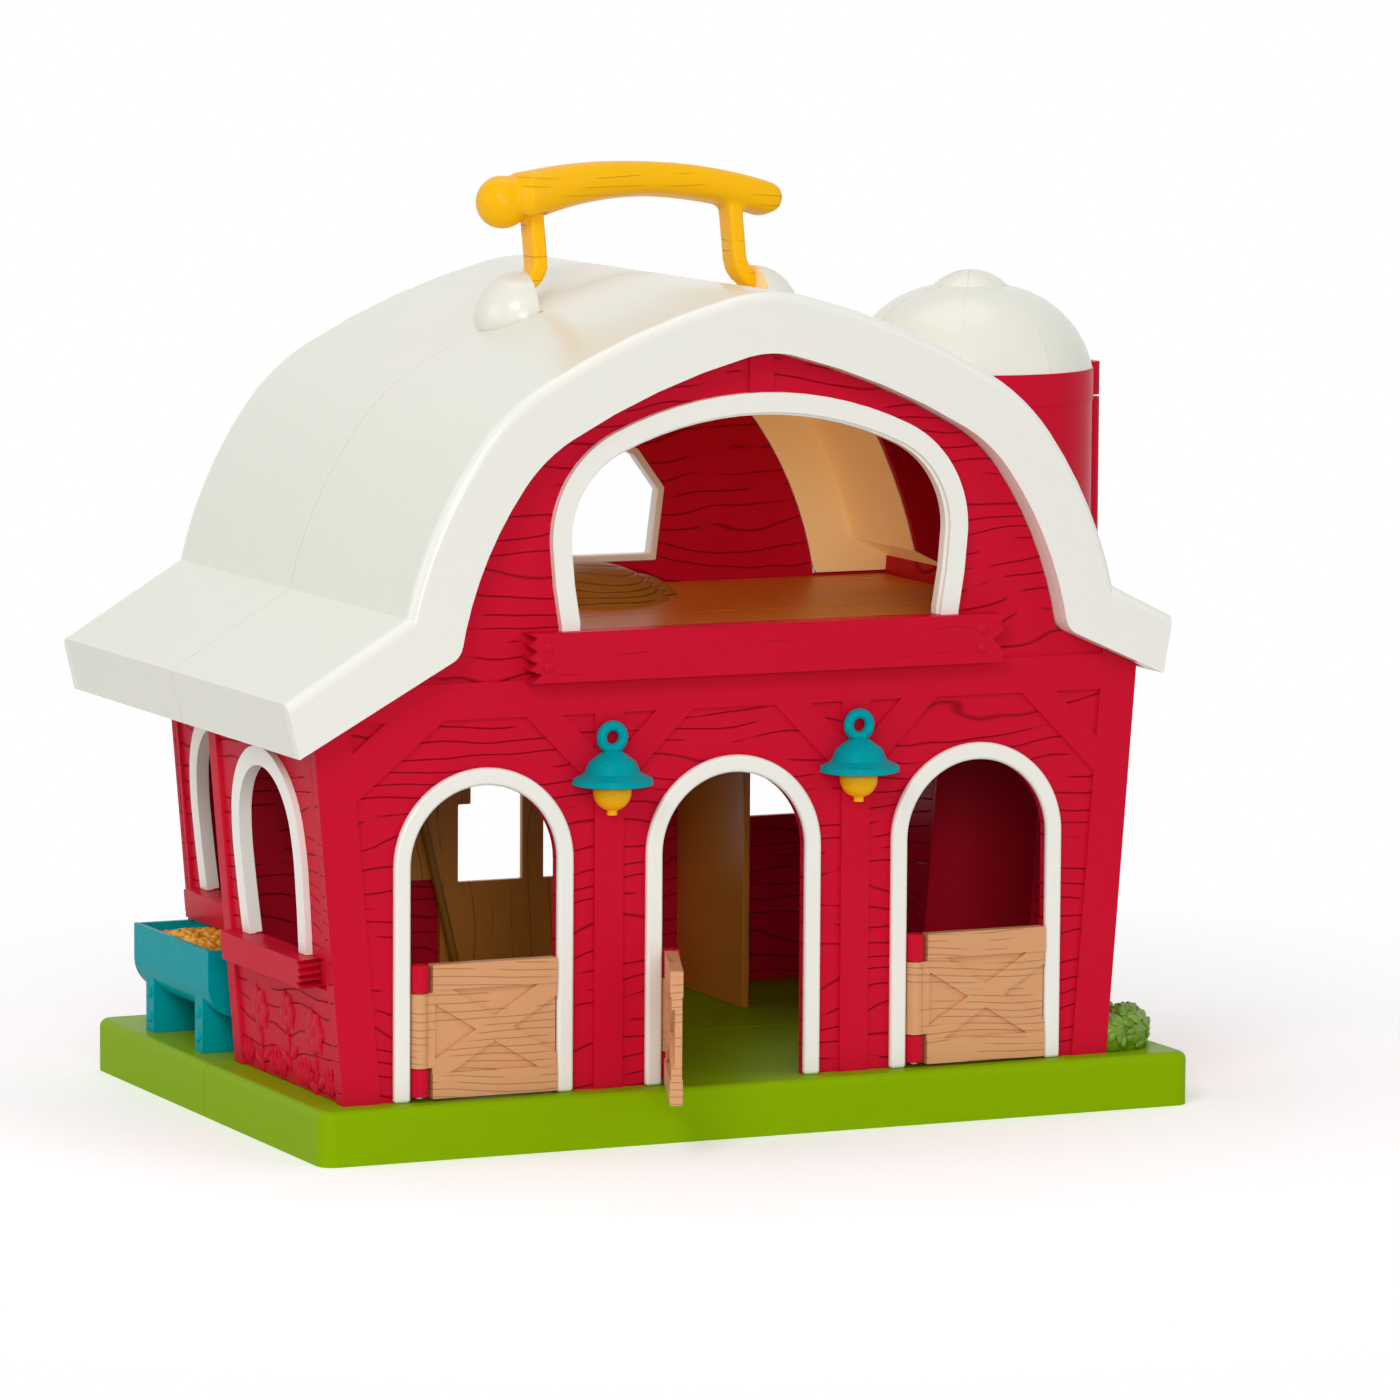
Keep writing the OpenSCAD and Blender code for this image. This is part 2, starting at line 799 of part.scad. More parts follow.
// One half of the silo's wall and ring, open towards the rooms, with its share of the
// hinge knuckles: every second one, counted from the top of the ring
module silo_half(first) {
  ring_z = silo_top - ring_h;
  knuckle_top = [for (i = [0:4]) i == 0 ? silo_top + 1.4 : ring_z - (i - 1) * knuckle_step];
  knuckle_bot = [for (i = [0:4]) i == 0 ? ring_z : max(base_h + 1.5, knuckle_top[i] - knuckle_step)];
  difference() {
    intersection() {
      at_silo() union() {
        translate([0, 0, base_h]) cylinder(h = ring_z - base_h + 1, r = silo_r);
        translate([0, 0, ring_z]) cylinder(h = ring_h, r = silo_r + 0.4);
      }
      rear_half();
    }
    at_silo() cylinder(h = far, r = silo_r - silo_t);
    upright(-1, 60) wall_outline_2d(0, wall_t);
  }
  for (i = [first:2:4]) difference() {
    h = knuckle_top[i] - knuckle_bot[i] - knuckle_gap;
    translate([hinge_x, 0, knuckle_bot[i]]) union() {
      cylinder(h = h, r = knuckle_r);
      translate([-7, gap, 0]) cube([7, 2.6, i == 0 ? silo_top - knuckle_bot[0] : h]);
    }
    translate([hinge_x, 0, 0]) cylinder(h = far, r = hinge_pin_r + run);
  }
}

module rear_silo() {
  color(red) silo_half(0);
}

module front_silo() {
  color(red) mirror([0, 1, 0]) silo_half(1);
}

module main_hinge_pin() {
  color(steel) translate([hinge_x, 0, base_h + 1.5]) cylinder(h = silo_top - base_h - 0.4, r = hinge_pin_r);
}

// The dome's profile, stretched to its height and to the silo's radius
function dome_profile(off) =
  let (half = half_outline(dome_arcs, 0, 0), foot = half[len(half) - 1])
  [for (p = half_outline(dome_arcs, 0, off)) [p.x * silo_r / foot.x, (p.y - foot.y) * dome_h / -foot.y]];

module dome_half() {
  outer = dome_profile(0);
  inner = dome_profile(-silo_t);
  cap_r = 13.6;
  cap_h = 5.6;
  cap_ball = (cap_r * cap_r + cap_h * cap_h) / (2 * cap_h);
  intersection() {
    at_silo() translate([0, 0, silo_top]) {
      rotate_extrude() polygon(concat(outer, [for (i = [len(inner) - 1:-1:0]) inner[i]]));
      intersection() {
        translate([0, 0, dome_h + 4.4 - cap_ball]) sphere(r = cap_ball);
        translate([0, 0, dome_h - silo_t + 0.3]) cylinder(h = 100, r = cap_r);
      }
    }
    translate([0, gap, silo_top]) cube([far, far, far]);
  }
}

module rear_dome() {
  color(cream) dome_half();
}

module front_dome() {
  color(cream) mirror([0, 1, 0]) dome_half();
}

// ---------- inside ----------

loft_t = 3.2;

loft_left = -154.5;    // the loft floors end below the slope of the left eave

// One half of the loft floor, from the left wall into the silo
module loft_floor(inset) {
  bottom = loft_z - loft_t;
  x0 = max(loft_left, wall_face(-1, bottom) + inset + left_inner + 0.4);
  x1 = wall_face(1, bottom) - wall_t - 0.4;
  translate([x0, gap, bottom]) cube([x1 - x0, wall_y - wall_t - gap, loft_t]);
  intersection() {
    at_silo() translate([0, 0, bottom]) cylinder(h = loft_t, r = silo_r - silo_t - 0.3);
    rear_half();
  }
}

module front_loft() {
  post = wall_face(-1, loft_z) + rear_inset + left_inner + 0.8;
  color(loft_brown) difference() {
    mirror([0, 1, 0]) loft_floor(0);
    translate([-far, -wall_t - gap - 0.3, 0]) cube([far + post, 10, far]);
  }
}

module rear_loft() {
  color(loft_brown) loft_floor(rear_inset);
}

module hay_pile() {
  color([0.66, 0.45, 0.09]) intersection() {
    union() {
      translate([4, 54, loft_z - 24]) sphere(r = 38);
      translate([-16, 46, loft_z - 14]) sphere(r = 22);
      translate([26, 62, loft_z - 12]) sphere(r = 20);
    }
    translate([-far, gap + 1, loft_z]) cube([2 * far, 80, 60]);
  }
}

screen_y = wall_y - wall_t - 3;

// A panelled screen in front of the two lights; a short beam fills one of their corners
module stable_screen() {
  beam_end = -25.5;
  beam_z = 94;
  sill = rear_light_z[0] + 1.4;
  color(loft_brown) upright(screen_y, screen_y + 3) difference() {
    polygon([[-38, base_h], [46, base_h], [46, 118], [-60, 118], [-60, sill], [-38, sill]]);
    translate([rear_light[0], rear_light_z[0]])
      square([rear_light[1] - rear_light[0], rear_light_z[1] - rear_light_z[0]]);
    difference() {
      translate([-rear_light[1], rear_light_z[0]])
        square([rear_light[1] - rear_light[0], rear_light_z[1] - rear_light_z[0]]);
      translate([beam_end - 20, beam_z]) square([20, 20]);
    }
  }
}

module stall_divider() {
  color(loft_brown) sideways(61, 64)
    translate([40, base_h]) square([wall_y - wall_t - 40, loft_z - loft_t - base_h]);
}

// A tool handle that leans to the left in front of the screen
module leaning_pole() {
  foot = -29.6;
  lean = 13.4;
  color([0.66, 0.44, 0.08]) intersection() {
    translate([foot, screen_y - 3, base_h]) rotate([0, -lean, 0]) translate([0, 0, -2])
      cylinder(h = 110, r = 1.7);
    translate([-far, 0, base_h]) cube([2 * far, far, 100]);
  }
}

// ---------- trough, corn and bush ----------

trough_y = [11, 87];
trough_x = -152.2;
trough_r = 12.3;
trough_z = 45.5;       // height of the round bottom's axis
trough_rim = 58.2;

module trough_2d(r) {
  difference() {
    circle(r);
    translate([-far, 0]) square([2 * far, far]);
  }
  translate([-r, -eps]) square([2 * r, trough_rim - trough_z + eps]);
}

module trough() {
  color(teal) {
    difference() {
      translate([trough_x, 0, trough_z]) upright(trough_y[0], trough_y[1]) trough_2d(trough_r);
      translate([trough_x, 0, trough_z + 0.2])
        upright(trough_y[0] + 2.2, trough_y[1] - 2.2) trough_2d(trough_r - 2);
    }
    for (y = [24, 74]) difference() {
      translate([trough_x - 11, y - 4, base_h]) cube([22, 8, trough_z - base_h]);
      translate([trough_x, 0, trough_z]) upright(0, 100) circle(trough_r - 1);
    }
  }
}

module corn() {
  inner = trough_r - 2.05;
  mound_r = 70;
  mid = (trough_y[0] + trough_y[1]) / 2;
  color([0.90, 0.63, 0.08]) intersection() {
    translate([trough_x, 0, trough_z + 0.25])
      upright(trough_y[0] + 2.25, trough_y[1] - 2.25) {
        trough_2d(inner);
        translate([-inner, 0]) square([2 * inner, 30]);
      }
    union() {
      translate([trough_x - 20, 0, 0]) cube([40, 100, trough_rim - 3.5]);
      translate([trough_x, mid, trough_rim + 1.2 - mound_r]) sphere(r = mound_r);
    }
  }
}

module bush() {
  lumps = [[143.8, -98, 7.4], [151.5, -94, 9.4], [147, -84, 9.8], [158.5, -84, 8.2], [150, -73, 7.6]];
  color(green) intersection() {
    for (l = lumps) translate([l.x, l.y, base_h + 5.4]) sphere(r = l.z);
    difference() {
      translate([138, -110, base_h]) cube([40, 60, 30]);
      upright(-far, far) wall_outline_2d(0, -0.1);
    }
  }
}

// ---------- handle ----------

bar_r = 173;           // radius of the arched grip
bar_ends = [-50.9, 53];        // from its middle to the centres of its ends
bar_t = 11.8;
bar_depth = 19;
bar_mid_z = 38.7;      // from the pivot line up to the middle of the grip
thick_end_r = 9.8;     // the grip's left end is the thicker one
leg_x = 39.6;
leg_t = 6;
leg_depth = 11;
leg_bend_r = 8.5;      // centre line of the bend at the foot of each leg

module bar_section_2d() {
  side = (bar_depth - bar_t) / 2;
  for (y = [-side, side]) translate([0, y]) circle(bar_t / 2);
  translate([-bar_t / 2, -side]) square([bar_t, 2 * side]);
}

module bar() {
  turn = [for (x = bar_ends) -asin(x / bar_r)];
  side = (bar_depth - bar_t) / 2;
  translate([0, 0, bar_mid_z - bar_r]) rotate([90, 0, 0]) {
    rotate([0, 0, 90 + turn[1]]) rotate_extrude(angle = turn[0] - turn[1], $fn = 180)
      translate([bar_r, 0]) bar_section_2d();
    rotate([0, 0, 90 + turn[0]]) translate([bar_r, 0, 0]) sphere(r = thick_end_r);
    rotate([0, 0, 90 + turn[1]]) translate([bar_r, 0, 0]) {
      translate([0, 0, -side]) cylinder(h = 2 * side, r = bar_t / 2 - 0.1);
      for (y = [-side, side]) translate([0, 0, y]) sphere(r = bar_t / 2 - 0.05);
    }
  }
}

// A leg that bends outwards at its foot, narrower there, and its pivot stub
module leg() {
  foot_r = 4.4;
  wide = leg_depth / 2 + 0.5;
  intersection() {
    upright(-leg_depth / 2, leg_depth / 2) {
      translate([leg_x - leg_t / 2, leg_bend_r]) square([leg_t, bar_mid_z - leg_bend_r - 7]);
      intersection() {
        translate([leg_x + leg_bend_r, leg_bend_r]) difference() {
          circle(leg_bend_r + leg_t / 2);
          circle(leg_bend_r - leg_t / 2);
        }
        translate([0, -10]) square([boss_x - 0.6, leg_bend_r + 10.1]);
      }
    }
    sideways(0, far) {
      circle(foot_r);
      polygon([[-foot_r, 0], [foot_r, 0], [wide, leg_bend_r], [wide, far], [-wide, far],
               [-wide, leg_bend_r]]);
    }
  }
  translate([boss_x - 3.6, 0, 0]) rotate([0, 90, 0]) cylinder(h = 3, r = foot_r - 0.1);
  translate([boss_x - 3.6, 0, 0]) rotate([0, 90, 0]) cylinder(h = 9.4, r = stub_r);
}

module handle() {
  color(yellow) translate([handle_shift, 0, pivot_z]) rotate([-handle_lean, 0, 0]) {
    bar();
    for (side = [0, 1]) mirror([side, 0, 0]) leg();
  }
}

// ---------- assembly ----------

rear_base();
rear_wall();
rear_left_wall();
rear_right_wall();
rear_roof();
rear_silo();
rear_dome();
rear_loft();
hay_pile();
rear_left_frame();
rear_left_sill();
rear_loft_frame();
stable_screen();
stall_divider();
leaning_pole();
trough();
corn();
main_hinge_pin();
rear_screws();
handle();
front_base();
front_wall();
front_left_wall();
front_right_wall();
front_roof();
front_silo();
front_dome();
front_loft();
loft_window_frame();
loft_ledge();
door_frame_1();
door_frame_2();
door_frame_3();
left_lamp();
right_lamp();
left_bulb();
right_bulb();
front_left_frame();
front_left_sill();
bush();
front_screws();
stable_door_1();
stable_door_2();
stable_door_3();
door_pin_1();
door_pin_2();
door_pin_3();
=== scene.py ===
import bpy
import bmesh
import json
import math
import random
from math import sin, cos, tan, radians, pi
from mathutils import Matrix, Vector

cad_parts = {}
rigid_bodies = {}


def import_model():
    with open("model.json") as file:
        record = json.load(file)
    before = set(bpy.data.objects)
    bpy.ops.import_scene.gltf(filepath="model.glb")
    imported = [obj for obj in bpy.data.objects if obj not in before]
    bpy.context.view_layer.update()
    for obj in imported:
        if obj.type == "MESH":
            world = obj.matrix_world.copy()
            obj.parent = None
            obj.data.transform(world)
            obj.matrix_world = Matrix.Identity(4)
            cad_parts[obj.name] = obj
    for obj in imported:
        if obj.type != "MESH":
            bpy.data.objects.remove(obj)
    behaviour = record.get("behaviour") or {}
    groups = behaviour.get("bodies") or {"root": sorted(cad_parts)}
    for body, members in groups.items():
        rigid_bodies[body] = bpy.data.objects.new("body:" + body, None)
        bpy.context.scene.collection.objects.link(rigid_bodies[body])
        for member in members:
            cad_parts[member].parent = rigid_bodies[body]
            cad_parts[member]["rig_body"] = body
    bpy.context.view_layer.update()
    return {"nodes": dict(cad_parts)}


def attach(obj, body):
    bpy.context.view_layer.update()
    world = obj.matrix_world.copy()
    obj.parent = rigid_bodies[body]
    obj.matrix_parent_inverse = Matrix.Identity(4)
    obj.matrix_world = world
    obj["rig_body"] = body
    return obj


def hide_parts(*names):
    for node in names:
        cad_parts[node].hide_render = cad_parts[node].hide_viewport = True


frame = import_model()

BODY = {name: node["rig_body"] for name, node in frame["nodes"].items()}
ops = bpy.ops

# Lengths below are in millimetres unless a comment says otherwise.
MM = 0.001
BASE_TOP = 19.5
WALL_FACE = 103.5        # between the sunken planks and the raised boards of the gable walls
ROOF_FACE = 112.5        # outer faces of the gable bands
BAND_BACK = 108.0        # the gable bands' whiter colour ends here
ARCH_MIDDLE = 100.0      # height of the middle of the roof's arch
LOFT_LOWEST = 177.0      # the roof's underside is painted a glowing tan from here up
WALL_LEAN = 4.9          # degrees, of the left walls
LEAN = tan(radians(WALL_LEAN))
FRONT_LEFT_FACE = -155.95     # between planks and boards, as WALL_FACE, at the height of the ground
REAR_LEFT_FACE = -131.45
LEFT_PANEL = -157.3      # the front left wall's lower panel, where it meets the base
SILL_END = 86.8          # of the rear half's sill
LEDGE_FACE, TROUGH_FACE = -110, -163.2
SILO_X = 133.8
TROUGH_X, TROUGH_Y = -152.2, 49
CORN_TOP, CORN_CURVE, CORN_EDGE = 59.4, 70, 54.7
HANDLE_PIVOT = 295.5
HANDLE_LEAN = 12         # degrees


# ---------- small helpers ----------

def paint(red, green, blue):
    """A linear colour from 0-255 values as seen on a screen."""
    def line(v):
        v /= 255.0
        return v / 12.92 if v <= 0.04045 else ((v + 0.055) / 1.055) ** 2.4
    return (line(red), line(green), line(blue), 1.0)


def nothing_selected():
    if bpy.context.object and bpy.context.object.mode != "OBJECT":
        ops.object.mode_set(mode="OBJECT")
    ops.object.select_all(action="DESELECT")


def only(piece):
    nothing_selected()
    piece.select_set(True)
    bpy.context.view_layer.objects.active = piece


def pick(piece, wanted, kind):
    """Selects the points or edges for which wanted holds, and stays in edit mode.

    Of a point, wanted gets the place and the normal. Of an edge it gets the middle, the direction
    and the sum of the normals of the faces beside it.
    """
    only(piece)
    ops.object.mode_set(mode="EDIT")
    ops.mesh.select_mode(type=kind)
    ops.mesh.select_all(action="DESELECT")
    mesh = bmesh.from_edit_mesh(piece.data)
    mesh.normal_update()
    if kind == "EDGE":
        for e in mesh.edges:
            mid = (e.verts[0].co + e.verts[1].co) / 2
            out = sum((f.normal for f in e.link_faces), Vector())
            e.select_set(wanted(mid, e.verts[1].co - e.verts[0].co, out))
    else:
        for v in mesh.verts:
            v.select_set(wanted(v.co, v.normal))
        mesh.select_flush(True)
    bmesh.update_edit_mesh(piece.data)


def done():
    ops.object.mode_set(mode="OBJECT")


def settle(piece):
    """Puts the piece's place into its mesh, with its faces pointing outwards."""
    only(piece)
    ops.object.transform_apply(location=True, rotation=True, scale=True)
    ops.object.mode_set(mode="EDIT")
    ops.mesh.select_all(action="SELECT")
    ops.mesh.remove_doubles(threshold=0.00002)
    ops.mesh.normals_make_consistent(inside=False)
    done()


def modify(piece, kind, **values):
    only(piece)
    m = piece.modifiers.new(kind.lower(), kind)
    for key, value in values.items():
        setattr(m, key, value)
    ops.object.modifier_apply(modifier=m.name)


def smooth(piece, angle=35):
    only(piece)
    ops.object.shade_smooth_by_angle(angle=radians(angle))


def even(piece):
    """Lets the large flat faces set the shading, so that they stay flat beside rounded edges."""
    modify(piece, "WEIGHTED_NORMAL", weight=100, keep_sharp=True)


def soften(piece, width, segments=2, angle=35):
    modify(piece, "BEVEL", width=width * MM, segments=segments, limit_method="ANGLE",
           angle_limit=radians(angle), use_clamp_overlap=True)


def join(name, pieces):
    nothing_selected()
    for p in pieces:
        p.select_set(True)
    bpy.context.view_layer.objects.active = pieces[0]
    if len(pieces) > 1:
        ops.object.join()
    whole = bpy.context.object
    whole.name = whole.data.name = name
    return whole


def copy_of(piece, name):
    twin = bpy.data.objects.new(name, piece.data.copy())
    bpy.context.scene.collection.objects.link(twin)
    return twin


def fit(piece, node, material, ending="_piece"):
    """Names and paints a finished piece, which stands for its CAD node and moves as that does."""
    piece.name = piece.data.name = node + ending
    piece.data.materials.clear()
    piece.data.materials.append(material)
    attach(piece, BODY[node])
    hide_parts(node)
    return piece


def from_node(node):
    """A merged copy of a CAD node's mesh, to be given rounded edges."""
    piece = copy_of(frame["nodes"][node], node + "_copy")
    only(piece)
    ops.object.mode_set(mode="EDIT")
    ops.mesh.select_all(action="SELECT")
    ops.mesh.remove_doubles(threshold=0.000001)
    ops.mesh.dissolve_degenerate(threshold=0.00001)
    ops.mesh.dissolve_limited(angle_limit=radians(0.6))
    done()
    ops.mesh.customdata_custom_splitnormals_clear()
    return piece


def turned(profile, steps, axis):
    """A round piece: the profile, points (radius, height), spun about the given axis."""
    nothing_selected()
    ops.mesh.primitive_circle_add(vertices=len(profile), radius=0.01, fill_type="NOTHING")
    piece = bpy.context.object
    for v, p in zip(piece.data.vertices, profile):
        v.co = (p[0] * MM, 0, p[1] * MM)
    pick(piece, lambda c, d, n: abs(c.x) > 1e-7, "EDGE")
    ops.mesh.spin(steps=steps, angle=2 * pi, center=(0, 0, 0), axis=(0, 0, 1))
    ops.mesh.select_all(action="SELECT")
    ops.mesh.remove_doubles(threshold=0.000005)
    ops.mesh.dissolve_degenerate(threshold=0.000002)
    ops.mesh.select_mode(type="EDGE")
    ops.mesh.select_all(action="DESELECT")
    mesh = bmesh.from_edit_mesh(piece.data)
    for e in mesh.edges:
        e.select_set(not e.link_faces)
    bmesh.update_edit_mesh(piece.data)
    ops.mesh.delete(type="EDGE")
    done()
    piece.rotation_euler = Vector((0, 0, 1)).rotation_difference(Vector(axis)).to_euler()
    settle(piece)
    return piece


# ---------- node groups ----------

def group(name, inputs, outputs):
    tree = bpy.data.node_groups.new(name, "ShaderNodeTree")
    for label, kind, value in inputs:
        s = tree.interface.new_socket(label, in_out="INPUT", socket_type=kind)
        if value is not None:
            s.default_value = value
    for label, kind in outputs:
        tree.interface.new_socket(label, in_out="OUTPUT", socket_type=kind)
    return tree, tree.nodes.new("NodeGroupInput"), tree.nodes.new("NodeGroupOutput")


def maths(tree, operation, a, b=None, c=None, clamp=False):
    node = tree.nodes.new("ShaderNodeMath")
    node.operation = operation
    node.use_clamp = clamp
    for i, v in enumerate((a, b, c)):
        if v is None:
            continue
        if isinstance(v, (int, float)):
            node.inputs[i].default_value = v
        else:
            tree.links.new(v, node.inputs[i])
    return node.outputs[0]


def stretched(tree, vector, scale):
    node = tree.nodes.new("ShaderNodeVectorMath")
    node.operation = "MULTIPLY"
    tree.links.new(vector, node.inputs[0])
    node.inputs[1].default_value = scale
    return node.outputs[0]


def noise(tree, vector, scale, detail=2.0, rough=0.5):
    node = tree.nodes.new("ShaderNodeTexNoise")
    node.inputs["Scale"].default_value = scale
    node.inputs["Detail"].default_value = detail
    node.inputs["Roughness"].default_value = rough
    tree.links.new(vector, node.inputs["Vector"])
    return node.outputs["Fac"]


def grain_group():
    """Carved wood grain: wavy lines along X and Y, one every Pitch along Z, looped and broken."""
    tree, put, out = group(
        "carved_grain",
        [("Vector", "NodeSocketVector", None), ("Pitch", "NodeSocketFloat", 0.005),
         ("Wave", "NodeSocketFloat", 2.0), ("Width", "NodeSocketFloat", 0.1),
         ("Breaks", "NodeSocketFloat", 0.45)],
        [("Lines", "NodeSocketFloat"), ("Fibre", "NodeSocketFloat")])
    at = put.outputs["Vector"]
    parts = tree.nodes.new("ShaderNodeSeparateXYZ")
    tree.links.new(at, parts.inputs[0])
    swell = noise(tree, stretched(tree, at, (16, 16, 38)), 1.0, 1.6, 0.45)
    height = maths(tree, "DIVIDE", parts.outputs["Z"], put.outputs["Pitch"])
    wave = maths(tree, "MULTIPLY", put.outputs["Wave"], 2.0)
    bent = maths(tree, "MULTIPLY_ADD", maths(tree, "SUBTRACT", swell, 0.5), wave, height)
    off = maths(tree, "ABSOLUTE", maths(tree, "SUBTRACT", maths(tree, "FRACT", bent), 0.5))
    near = maths(tree, "MULTIPLY", off, 2.0)
    edge = maths(tree, "SUBTRACT", 1.0, put.outputs["Width"])
    inside = maths(tree, "SUBTRACT", near, edge)
    line = maths(tree, "DIVIDE", inside, put.outputs["Width"], clamp=True)
    patch = noise(tree, stretched(tree, at, (45, 45, 120)), 1.0, 1.0)
    kept = maths(tree, "SUBTRACT", patch, put.outputs["Breaks"])
    shown = maths(tree, "MULTIPLY", kept, 16.0, clamp=True)
    tree.links.new(maths(tree, "MULTIPLY", line, shown), out.inputs["Lines"])
    tree.links.new(noise(tree, stretched(tree, at, (40, 40, 900)), 1.0, 3.0), out.inputs["Fibre"])
    return tree


def mould_group():
    """The unevenness of a moulded skin: slow changes of tone and gloss, and a fine orange peel."""
    tree, put, out = group(
        "moulded_skin",
        [("Vector", "NodeSocketVector", None), ("Tone", "NodeSocketFloat", 0.05),
         ("Rough", "NodeSocketFloat", 0.35), ("Rough Change", "NodeSocketFloat", 0.1)],
        [("Shade", "NodeSocketFloat"), ("Roughness", "NodeSocketFloat"),
         ("Peel", "NodeSocketFloat")])
    at = put.outputs["Vector"]
    slow = noise(tree, at, 14.0, 3.0)
    wiped = noise(tree, at, 55.0, 4.0, 0.6)
    shade = maths(tree, "MULTIPLY_ADD", maths(tree, "SUBTRACT", slow, 0.5),
                  put.outputs["Tone"], 1.0)
    rough = maths(tree, "MULTIPLY_ADD", maths(tree, "SUBTRACT", wiped, 0.5),
                  put.outputs["Rough Change"], put.outputs["Rough"])
    tree.links.new(shade, out.inputs["Shade"])
    tree.links.new(rough, out.inputs["Roughness"])
    tree.links.new(noise(tree, at, 900.0, 2.0), out.inputs["Peel"])
    return tree


def lumps_group():
    """Rounded grains packed together, each in its own tone, for corn, straw and leaves."""
    tree, put, out = group(
        "packed_grains",
        [("Vector", "NodeSocketVector", None), ("Size", "NodeSocketFloat", 400.0)],
        [("Height", "NodeSocketFloat"), ("Tone", "NodeSocketFloat")])
    cell = tree.nodes.new("ShaderNodeTexVoronoi")
    cell.feature = "F1"
    tree.links.new(put.outputs["Vector"], cell.inputs["Vector"])
    tree.links.new(put.outputs["Size"], cell.inputs["Scale"])
    height = maths(tree, "SUBTRACT", 1.0, cell.outputs["Distance"], clamp=True)
    tree.links.new(height, out.inputs["Height"])
    parts = tree.nodes.new("ShaderNodeSeparateColor")
    tree.links.new(cell.outputs["Color"], parts.inputs[0])
    tree.links.new(parts.outputs[0], out.inputs["Tone"])
    return tree


def half_group():
    """1 beyond a plane, 0 before it: the plane lies at Edge along Direction."""
    tree, put, out = group(
        "beyond_plane",
        [("Vector", "NodeSocketVector", None), ("Direction", "NodeSocketVector", (0, 1, 0)),
         ("Edge", "NodeSocketFloat", 0.0)],
        [("Mask", "NodeSocketFloat")])
    dot = tree.nodes.new("ShaderNodeVectorMath")
    dot.operation = "DOT_PRODUCT"
    tree.links.new(put.outputs["Vector"], dot.inputs[0])
    tree.links.new(put.outputs["Direction"], dot.inputs[1])
    past = maths(tree, "SUBTRACT", dot.outputs["Value"], put.outputs["Edge"])
    tree.links.new(maths(tree, "MULTIPLY", past, 4000.0, clamp=True), out.inputs["Mask"])
    return tree


def rib_group():
    """Thin lines from the top of a dome down its sides, Count of them round the Z axis."""
    tree, put, out = group(
        "dome_ribs",
        [("Vector", "NodeSocketVector", None), ("Count", "NodeSocketFloat", 8.0),
         ("Width", "NodeSocketFloat", 0.06)],
        [("Rib", "NodeSocketFloat")])
    parts = tree.nodes.new("ShaderNodeSeparateXYZ")
    tree.links.new(put.outputs["Vector"], parts.inputs[0])
    angle = maths(tree, "ARCTAN2", parts.outputs["Y"], parts.outputs["X"])
    share = maths(tree, "DIVIDE", angle, 2 * pi)
    turns = maths(tree, "MULTIPLY_ADD", share, put.outputs["Count"], 20.2)
    off = maths(tree, "ABSOLUTE", maths(tree, "SUBTRACT", maths(tree, "FRACT", turns), 0.5))
    aside = maths(tree, "DIVIDE", off, put.outputs["Width"])
    near = maths(tree, "SUBTRACT", 1.0, aside, clamp=True)
    tree.links.new(near, out.inputs["Rib"])
    return tree


GRAIN = grain_group()
SKIN = mould_group()
LUMPS = lumps_group()
BEYOND = half_group()
RIBS = rib_group()


